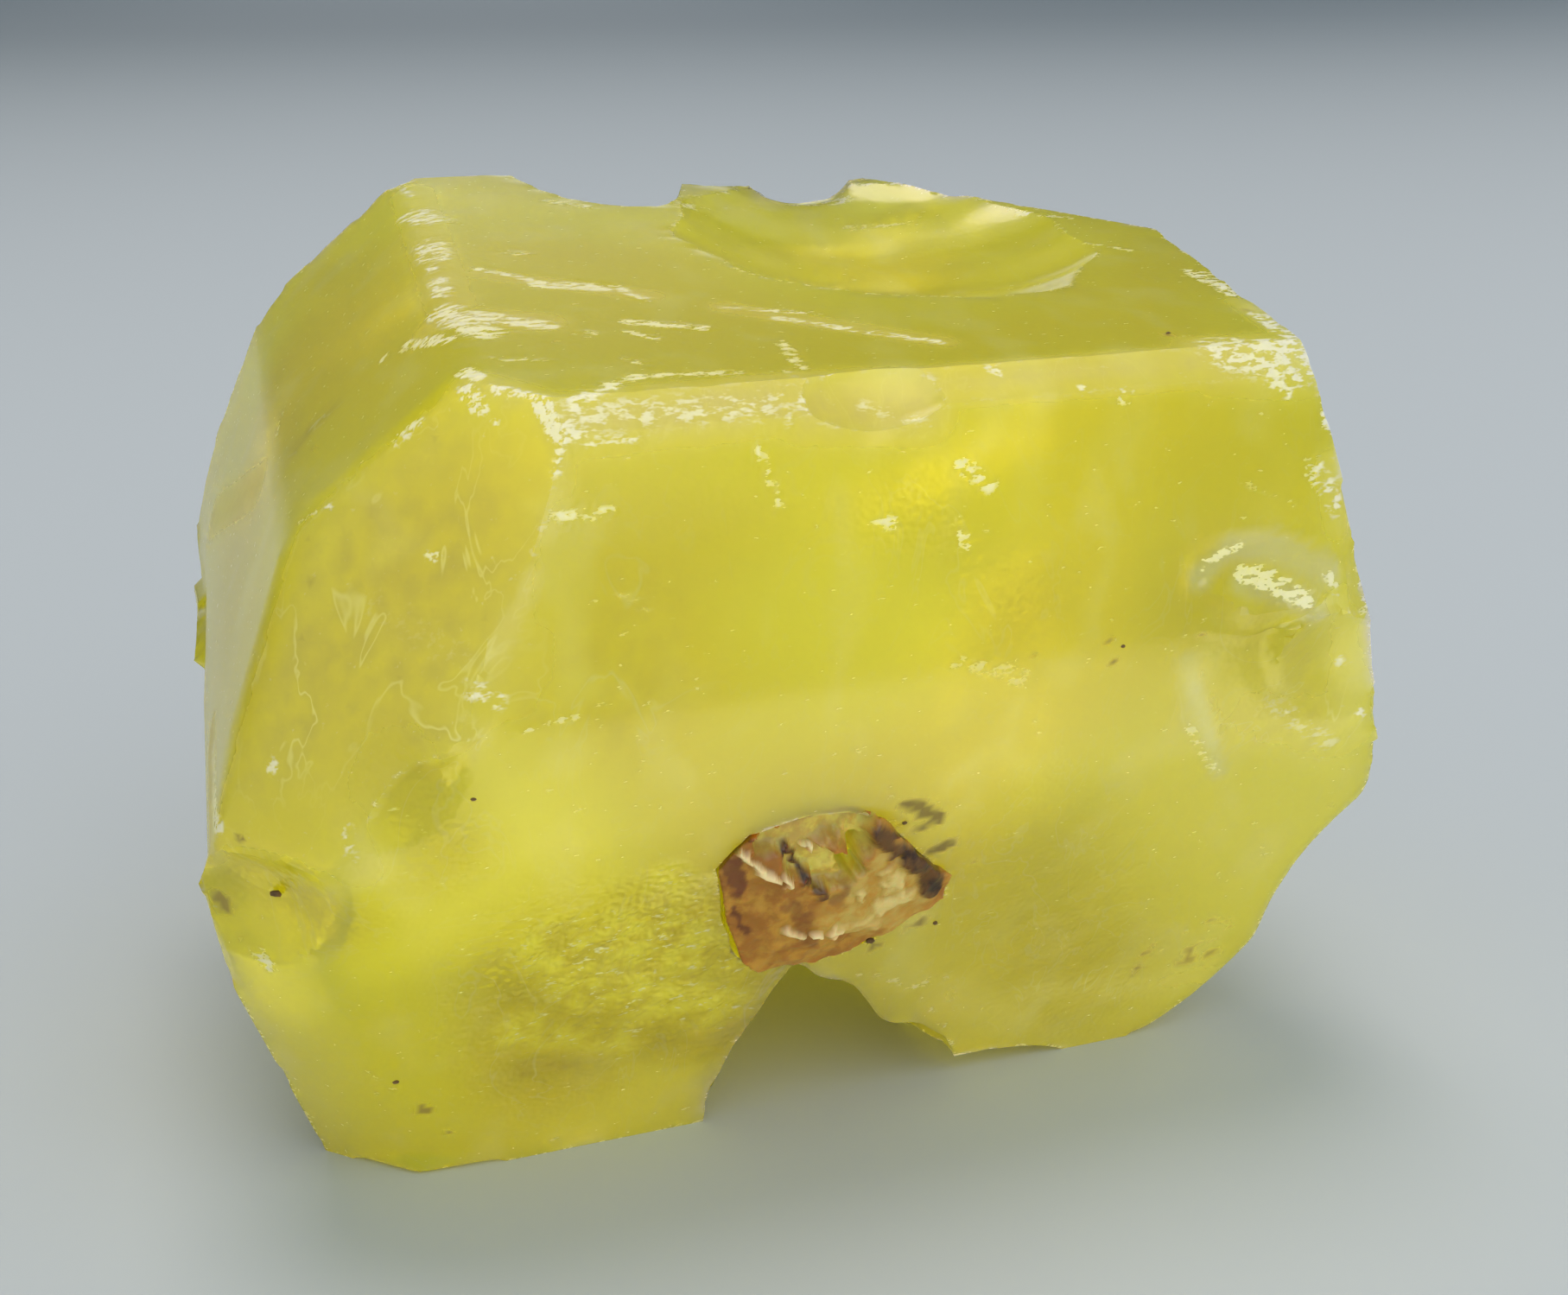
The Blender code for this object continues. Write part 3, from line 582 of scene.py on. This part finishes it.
def sulfurRows(user):
    layers = "clouds veils shade frost grime healed lens glitter grain marks bare seeThrough relief"
    rows = [(name, "Attribute", {"attribute_name": name}, {}) for name in layers.split()]
    rows += [
        ("place", "TexCoord", {}, {}),
        ("drawn", "Mapping", {}, {"Vector": "place.Object", "Rotation": (0, 0, 0.42), "Scale": (0.4, 1, 1)}),
        (
            "slanted",
            "Mapping",
            {},
            {"Vector": "place.Object", "Rotation": (0.4, 0, 0.3), "Scale": (1, 0.7, 0.6)},
        ),
    ]
    # fine noises: where from, size in mm, detail, roughness, distortion
    for name, source, size, detail, roughness, swirl in (
        ("ragged", "drawn.Vector", user["rubSize"], 2, 0.75, 0),
        ("turbulent", "slanted.Vector", user["crackSize"], 3, 0.62, 1.4),
        ("grit", "place.Object", user["gritSize"], 0, 0.5, 0),
    ):
        inputs = {"Vector": source, "Scale": 1 / (size * mm), "Detail": detail, "Roughness": roughness}
        inputs["Distortion"] = swirl
        rows.append((name, "TexNoise", {}, inputs))
    rows += [
        # rubs and the painted glints on the crescent are drawn where the ragged noise rises above what their
        # soft marks leave
        ("spread", "MapRange", smooth, {0: "ragged.Fac", 1: 0.36, 2: 0.64, 3: 0.2, 4: 1.55}),
        ("broken", "Math", times, {0: "marks.Fac", 1: "spread.Result"}),
        ("rub", "MapRange", smooth, {0: "broken.Value", 1: 0.3, 2: 0.85, 4: user["rubShare"]}),
        ("scuffs", "MapRange", smooth, {0: "ragged.Fac", 1: 0.66, 2: 0.78, 4: user["scuffShare"]}),
        ("rubbed", "Math", larger, {0: "rub.Result", 1: "scuffs.Result"}),
        # healed cracks are thin pale lines along the middle values of a turbulent noise
        ("side", "Math", minus, {0: "turbulent.Fac", 1: 0.5}),
        ("away", "Math", unsigned, {0: "side.Value"}),
        ("line", "MapRange", smooth, {0: "away.Value", 1: user["crackWidth"], 2: 0}),
        ("crack", "Math", times, {0: "line.Result", 1: "healed.Fac"}),
        # painted glitter: lit and shaded specks with sparse painted highlights
        ("flashes", "MapRange", smooth, {0: "ragged.Fac", 1: 0.6, 2: 0.68}),
        ("sparks", "Mix", colours, {"Factor": "grain.Fac", "A": user["olive"], "B": user["spark"]}),
        ("sparkle", "Mix", colours, {"Factor": "flashes.Result", "A": "sparks.Result", "B": user["flash"]}),
    ]
    # the colour, one coat over another
    under = user["deep"]
    for name, share, coat in (
        ("body", "clouds.Fac", user["bright"]),
        ("veiled", "veils.Fac", user["veil"]),
        ("shaded", "shade.Fac", user["murk"]),
        ("frosted", "frost.Fac", user["bloom"]),
        ("cracked", "crack.Value", user["crack"]),
        ("paintedCrackReflection", "lens.Fac", user["lens"]),
        ("paintedGlitter", "glitter.Fac", "sparkle.Result"),
        ("scouredAndGlinted", "rubbed.Value", user["rub"]),
        ("tint", "grime.Fac", user["dirt"]),
    ):
        rows.append((name, "Mix", colours, {"Factor": share, "A": under, "B": coat}))
        under = name + ".Result"
    return rows + [
        ("dull", "Math", larger, {0: "frost.Fac", 1: "grime.Fac"}),
        ("cover", "Math", larger, {0: "rubbed.Value", 1: "dull.Value"}),
        ("roughness", "Math", plus, {0: "cover.Value", 1: 0.35, 2: "bare.Fac"}),
        ("uncovered", "Math", minus | {"use_clamp": True}, {0: 1.0, 1: "cover.Value"}),
        ("clearness", "Math", times, {0: "uncovered.Value", 1: "seeThrough.Fac"}),
        ("height", "Math", times, {0: "grit.Fac", 1: "relief.Fac"}),
        ("bump", "Bump", {}, {"Height": "height.Value", "Strength": 0.5, "Distance": 0.05 * mm}),
        (
            "shader",
            "BsdfPrincipled",
            {},
            {
                "Base Color": "tint.Result",
                "Roughness": "roughness.Value",
                "IOR": user["ior"],
                "Transmission Weight": "clearness.Value",
                "Subsurface Weight": 1.0,
                "Subsurface Scale": user["scatter"] * mm,
                "Subsurface Radius": (1.0, 0.95, 0.3),  # blue light is soon lost
                "Normal": "bump.Normal",
            },
        ),
        ("absorb", "VolumeAbsorption", {}, {"Color": user["absorb"], "Density": user["absorbDensity"]}),
        ("output", "OutputMaterial", {}, {"Surface": "shader.BSDF", "Volume": "absorb.Volume"}),
    ]


# native sulfur: resinous yellow crystal, clear at the skin and milky inside, frosted where it is rubbed,
# with painted glints and reflections on the crescent crack and in the glitter
sulfur = newMaterial("nativeSulfur", sulfurRows(sulfurSettings))
addPiece("sulfurCrystal", crystalMesh, sulfur, "sulfur", "sulfur_crystal")
print("sulfur dressed")

scrapSettings = {
    "middle": (-0.74, -10.48, 8.0),  # mm
    "outward": (-0.0014, -0.8922, -0.4516),
    "grow": 1.08,  # fills the pocket's gap
    "voxel": 0.07,
    # how far each mark stands out, in mm
    "relief": {"window": -0.5, "hole": -0.9, "gleam": 0.22, "umberAndGapShade": 0.12, "streak": 0.1},
    "cornerWay": (0.6, 0.8),  # across and up
    "cornerReach": 0.35,
    "ragged": 0.22,  # mm that the marks' borders stray
    "raggedSize": 0.3,
    "crumbDepth": 0.12,
    "crumbSize": 0.7,
    "brown": "#b0842c",
    "tan": "#b79c4c",
    "orange": "#94621c",
    # dark umber for the stained rim, also painted on the sides as shade in the gap
    "umberAndGapShade": "#5f4016",
    "black": "#2a1408",
    "maroon": "#6b3c18",
    "window": "#cfc25a",
    "hole": "#dcd432",
    # the gleam colour is a painted highlight on the raised ridges
    "gleam": "#e6d3a0",
    "vein": "#cdbb76",
    "spotScale": 1400,  # spots per metre
}

# in mm across and up the scrap's outer side: from x, y to x, y, half width, strength
scrapMarks = {
    "window": (
        (-2.42, 2.00, 0, -0.72, 2.20, 0, 0.36, 1.0),
        (-1.58, 1.35, 0, -0.56, 1.00, 0, 0.36, 1.0),
        (-0.84, 0.65, 0, -0.47, 0.60, 0, 0.30, 1.0),
        (-0.77, 2.40, 0, 0.00, 2.10, 0, 0.18, 0.9),
        (-0.28, 1.80, 0, 0.03, 1.55, 0, 0.18, 0.8),
    ),
    "hole": ((-0.12, 1.27, 0, -0.08, 0.75, 0, 0.20, 1.0),),
    "maroon": (
        (-3.32, 1.50, 0, -3.05, 0.55, 0, 0.18, 1.0),
        (-3.52, 1.50, 0, -3.40, 1.20, 0, 0.13, 1.0),
        (-3.08, -0.09, 0, -2.61, -0.99, 0, 0.10, 0.8),
        (-1.48, -0.13, 0, -0.70, -1.60, 0, 0.24, 0.5),
        (-0.24, -0.09, 0, -0.12, 0.20, 0, 0.18, 0.5),
    ),
    "umberAndGapShade": (
        (0.33, 1.80, 0, 1.47, 0.80, 0, 0.15, 1.0),
        (1.47, 0.80, 0, 2.31, 0.15, 0, 0.18, 1.0),
        (2.24, -0.05, 0, 2.60, -0.60, 0, 0.22, 1.0),
        (0.24, 1.80, 0, 0.24, 1.79, 0, 0.07, 1.0),
        (-3.09, 2.20, 0, -2.82, 2.20, 0, 0.10, 0.6),
        (-1.99, 1.66, 0, -1.16, 0.50, 0, 0.08, 0.7),
        (-0.98, 0.25, 0, -0.58, 0.05, 0, 0.08, 0.7),
    ),
    # painted highlights along the ridges, over a real raised relief
    "gleam": (
        (-3.27, 1.85, 0, -2.73, 1.32, 0, 0.065, 0.9),
        (-2.73, 1.32, 0, -2.20, 1.00, 0, 0.065, 0.8),
        (-2.02, 0.96, 0, -1.81, 0.66, 0, 0.07, 0.8),
        (-1.53, -1.08, 0, -1.07, -1.27, 0, 0.12, 0.6),
        (-0.73, -1.15, 0, -0.66, -1.20, 0, 0.06, 1.0),
        (-1.29, 1.50, 0, -1.19, 1.45, 0, 0.07, 1.0),
        (-0.17, -1.24, 0, -0.07, -1.42, 0, 0.10, 0.6),
    ),
    "streak": (
        (0.87, 0.55, 0, 1.47, -0.39, 0, 0.18, 1.0),
        (0.30, -0.05, 0, 0.46, -0.25, 0, 0.12, 0.8),
        (1.06, -0.70, 0, 1.76, -0.53, 0, 0.24, 0.8),
        (0.22, -1.32, 0, 0.96, -1.33, 0, 0.24, 0.6),
        (1.23, 0.38, 0, 1.52, -0.32, 0, 0.10, 1.0),
    ),
    "orange": (
        (-2.84, 2.05, 0, -2.03, 1.30, 0, 0.30, 1.0),
        (-2.72, 0.70, 0, -2.27, 0.75, 0, 0.24, 0.6),
        (-0.70, -0.47, 0, -0.23, -0.41, 0, 0.24, 0.4),
    ),
    "pale": ((0.70, 0.30, 0, 1.60, -0.90, 0, 0.9, 1.0), (-0.10, -0.60, 0, 1.00, -1.00, 0, 0.6, 1.0)),
}


def buildScrapMesh(user):
    mesh = mergedCopy(cadNodes["matrix_fragment"])
    middle = Vector(user["middle"]) * mm
    outward = Vector(user["outward"])
    upward = Vector((1, 0, 0)).cross(outward).normalized()
    if upward.z < 0:
        upward = -upward
    skin = bmesh.new()
    skin.from_mesh(mesh)
    for corner in skin.verts:
        away = corner.co - middle
        deep = outward * away.dot(outward)
        corner.co = middle + deep + (away - deep) * user["grow"]
    skin.to_mesh(mesh)
    skin.free()
    fine = remeshed(mesh, "matrixScrap", {"mode": "VOXEL", "voxel_size": user["voxel"] * mm})

    points = vertexVectors(fine, "co") / mm
    away = points - user["middle"]
    flat = np.stack([away[:, 0], away @ np.array(upward), np.zeros(len(points))], axis=1)
    for axis in (0, 1):
        # ragged borders: the marks are looked up a little off their place
        flat[:, axis] += user["ragged"] * softNoise(points, user["raggedSize"], 13 + axis)
    facing = np.clip((away @ np.array(outward) + 0.4) / 0.5, 0, 1)  # 0 on the scrap's sides and back
    masks = {}
    for name, marks in scrapMarks.items():
        masks[name] = np.clip((markMask(flat, marks) - 0.25) / 0.45, 0, 1) * facing
    # painted shade: the sides and back take the dark umber, so the gap around the scrap reads dark
    masks["umberAndGapShade"] = np.maximum(masks["umberAndGapShade"], 1 - facing)
    out = user["crumbDepth"] * softNoise(points, user["crumbSize"], 11, 0.5, 2.5) * facing
    for name, rise in user["relief"].items():
        out += rise * masks[name]
    moved = points + np.array(outward) * out[:, None]
    # the upper right corner reaches out to close the pocket
    across, up = user["cornerWay"]
    corner = np.clip(flat[:, 0] * across + flat[:, 1] * up - 1, 0, 1) * user["cornerReach"]
    moved += corner[:, None] * (across * np.array((1, 0, 0)) + up * np.array(upward))
    writeSkin(fine, moved, masks)
    return fine


def matrixRows(user):
    rows = [(name, "Attribute", {"attribute_name": name}, {}) for name in scrapMarks]
    rows += [
        ("place", "TexCoord", {}, {}),
        (
            "spots",
            "TexNoise",
            {},
            {"Vector": "place.Object", "Scale": user["spotScale"], "Detail": 4, "Roughness": 0.65},
        ),
        ("spread", "MapRange", smooth, {0: "spots.Fac", 1: 0.38, 2: 0.62}),
    ]
    # speckled stone colours
    for name, low, high in (
        ("plain", "orange", "brown"),
        ("buff", "brown", "tan"),
        ("veined", "tan", "vein"),
        ("glass", "tan", "window"),
        ("burnt", "black", "umberAndGapShade"),
    ):
        rows.append((name, "Mix", colours, {"Factor": "spread.Result", "A": user[low], "B": user[high]}))
    under = "plain.Result"
    for name, coat in (
        ("pale", "buff.Result"),
        ("orange", user["orange"]),
        ("streak", "veined.Result"),
        ("maroon", user["maroon"]),
        ("window", "glass.Result"),
        ("hole", user["hole"]),
        ("umberAndGapShade", "burnt.Result"),
        # painted highlight
        ("gleam", user["gleam"]),
    ):
        rows.append((name + "Coat", "Mix", colours, {"Factor": name + ".Fac", "A": under, "B": coat}))
        under = name + "Coat.Result"
    shine = {"Roughness": 0.4, "IOR": 1.5, "Subsurface Weight": 0.4, "Subsurface Scale": 0.6 * mm}
    return rows + [
        ("bump", "Bump", {}, {"Height": "spots.Fac", "Strength": 0.6, "Distance": 0.06 * mm}),
        ("shader", "BsdfPrincipled", {}, {"Base Color": under, "Normal": "bump.Normal"} | shine),
        ("output", "OutputMaterial", {}, {"Surface": "shader.BSDF"}),
    ]


# iron-stained limestone and calcite: brown and resinous, with a glassy yellow window and painted highlights
# on its ridges
matrix = newMaterial("ironStainedCalcite", matrixRows(scrapSettings))
addPiece("matrixScrap", buildScrapMesh(scrapSettings), matrix, "matrix_rock", "matrix_fragment")
print("matrix dressed")

grainSettings = {
    "colour": "#3a2a16",
    "paleColour": "#7a5c30",
    "lumpy": 0.35,
    "spotScale": 9000,
    "sunk": 0.35,  # share of its thickness in the skin
    # place in mm, the way out of the skin, half length, half width
    "grains": (
        ((-14.88, -9.48, 9.65), (-0.73, -0.65, -0.19), 0.16, 0.08),
        ((-11.95, -8.32, 3.78), (0.0, -0.89, -0.45), 0.08, 0.05),
        ((-11.04, -12.70, 12.44), (0.0, -0.89, -0.45), 0.07, 0.04),
        ((8.19, -10.57, 21.39), (0.0, -0.15, 0.99), 0.07, 0.04),
        ((2.44, -9.45, 6.02), (0.0, -0.89, -0.45), 0.07, 0.06),
        ((0.54, -11.32, 9.71), (0.0, -0.89, -0.45), 0.07, 0.05),
        ((0.59, -9.34, 5.80), (0.0, -0.89, -0.45), 0.13, 0.08),
        ((5.44, -13.38, 14.25), (0.0, -0.99, 0.17), 0.06, 0.04),
    ),
}


def buildGrains(user):
    heap = bmesh.new()
    for number, (place, way, long, wide) in enumerate(user["grains"]):
        made = bmesh.ops.create_icosphere(heap, subdivisions=2, radius=mm)
        turn = Vector(way).to_track_quat("Z", "Y").to_matrix()
        for corner in made["verts"]:
            lump = 1 + user["lumpy"] * noise.noise(corner.co / mm * 1.5 + Vector((number * 3.7, 0, 0)))
            corner.co = Vector((corner.co.x * long, corner.co.y * wide, corner.co.z * wide)) * lump
            corner.co.z += wide * (1 - 2 * user["sunk"]) * mm
            corner.co = turn @ corner.co + Vector(place) * mm
    mesh = bpy.data.meshes.new("rockGrains")
    heap.to_mesh(mesh)
    heap.free()
    return mesh


def grainRows(user):
    return (
        ("place", "TexCoord", {}, {}),
        ("spots", "TexNoise", {}, {"Vector": "place.Object", "Scale": user["spotScale"], "Detail": 2}),
        ("tint", "Mix", colours, {"Factor": "spots.Fac", "A": user["colour"], "B": user["paleColour"]}),
        ("shader", "BsdfPrincipled", {}, {"Base Color": "tint.Result", "Roughness": 0.7, "IOR": 1.5}),
        ("output", "OutputMaterial", {}, {"Surface": "shader.BSDF"}),
    )


# bituminous limestone crumbs: dark brown, dull, uneven
grainRock = newMaterial("bituminousRock", grainRows(grainSettings))
addPiece("rockGrains", buildGrains(grainSettings), grainRock, "matrix_rock")
print("grains set")

studioSettings = {
    "paint": "#b7c0c7",
    # painted shade: far from the crystal the floor and backdrop are painted darker, as if the light fell off
    "paintedFarShade": "#89939a",
    "fadeStart": 0.02,  # m from the crystal
    "fadeEnd": 0.75,
    "halfWidth": 4.0,
    "depth": 1.5,
    "front": -3.0,
    "curve": 0.35,
    "curveSteps": 16,
    "height": 1.2,
    "world": "#979fa5",
    "worldStrength": 1.2,
    # each soft light: place, where it points, size, watts, colour
    "lights": {
        "overhead": ((0.30, -0.42, 0.75), (0, 0, 0.01), 1.1, 0.55, "#ffffff"),
        "top": ((-0.05, 0.12, 0.95), (0, 0, 0.012), 0.6, 4.3, "#fff0df"),
        "left": ((-0.80, -0.25, 0.42), (0, 0, 0.012), 0.6, 0.25, "#ffe9d8"),
        "front": ((-0.10, -0.75, 0.42), (0, 0, 0.010), 1.1, 3.8, "#ffffff"),
        "farRight": ((1.00, 0.60, 0.30), (0, 0, 0.03), 0.5, 1.2, "#ffffff"),
        "behind": ((0.36, 1.20, 0.27), (0, 0, 0.05), 0.46, 0.45, "#ffffff"),
    },
    # soft light that comes up through the floor and lights only what looks down at it
    "below": {
        "floorGlow": ((0.17, -0.22, -0.32), (0, 0, 0.008), 0.3, 0.9, "#fff3c4"),
    },
}


def paintRows(user):
    return (
        ("place", "TexCoord", {}, {}),
        ("split", "SeparateXYZ", {}, {"Vector": "place.Object"}),
        ("reach", "MapRange", smooth, {0: "split.Y", 1: user["fadeStart"], 2: user["fadeEnd"]}),
        ("fading", "Mix", colours, {"Factor": "reach.Result", "A": user["paint"], "B": user["paintedFarShade"]}),
        ("shader", "BsdfPrincipled", {}, {"Base Color": "fading.Result", "Roughness": 0.75}),
        ("output", "OutputMaterial", {}, {"Surface": "shader.BSDF"}),
    )


def buildFloor(user):
    # a strip of floor that curves up into the backdrop
    sweep = bmesh.new()
    corners = [sweep.verts.new((side * user["halfWidth"], user["front"], 0)) for side in (-1, 1)]
    sweep.edges.new(corners)
    moved = bmesh.ops.extrude_edge_only(sweep, edges=sweep.edges[:])["geom"]
    row = [v for v in moved if isinstance(v, bmesh.types.BMVert)]
    bmesh.ops.translate(sweep, verts=row, vec=(0, user["depth"] - user["curve"] - user["front"], 0))
    turned = bmesh.ops.spin(
        sweep,
        geom=[e for e in moved if isinstance(e, bmesh.types.BMEdge)],
        cent=(0, user["depth"] - user["curve"], user["curve"]),
        axis=(1, 0, 0),
        angle=math.radians(90),
        steps=user["curveSteps"],
        use_duplicate=False,
    )["geom_last"]
    last = [e for e in turned if isinstance(e, bmesh.types.BMEdge)]
    wall = bmesh.ops.extrude_edge_only(sweep, edges=last)["geom"]
    row = [v for v in wall if isinstance(v, bmesh.types.BMVert)]
    bmesh.ops.translate(sweep, verts=row, vec=(0, 0, user["height"]))
    bmesh.ops.recalc_face_normals(sweep, faces=sweep.faces)
    for face in sweep.faces:
        face.smooth = True
    mesh = bpy.data.meshes.new("studioFloor")
    sweep.to_mesh(mesh)
    sweep.free()
    # matt pale studio paint, with painted shade that darkens it far off
    mesh.materials.append(newMaterial("paleStudioPaint", paintRows(user)))
    floor = bpy.data.objects.new("studioFloor", mesh)
    bpy.context.scene.collection.objects.link(floor)


def buildLights(user):
    for name, (place, target, size, watts, colour) in (user["lights"] | user["below"]).items():
        data = bpy.data.lights.new(name, "AREA")
        data.shape = "DISK"
        data.size = size
        data.energy = watts
        data.color = hexColour(colour)[:3]
        lamp = bpy.data.objects.new(name, data)
        bpy.context.scene.collection.objects.link(lamp)
        lamp.visible_camera = False
        data.use_shadow = lamp.visible_glossy = name in user["lights"]
        lamp.location = place
        lamp.rotation_euler = (Vector(target) - Vector(place)).to_track_quat("-Z", "Y").to_euler()

    world = bpy.data.worlds.new("softRoom")
    world.use_nodes = True
    sky = world.node_tree.nodes["Background"]
    sky.inputs["Color"].default_value = hexColour(user["world"])
    sky.inputs["Strength"].default_value = user["worldStrength"]
    bpy.context.scene.world = world
    bpy.context.scene.view_settings.view_transform = "Standard"


buildFloor(studioSettings)
buildLights(studioSettings)
print("studio lit")
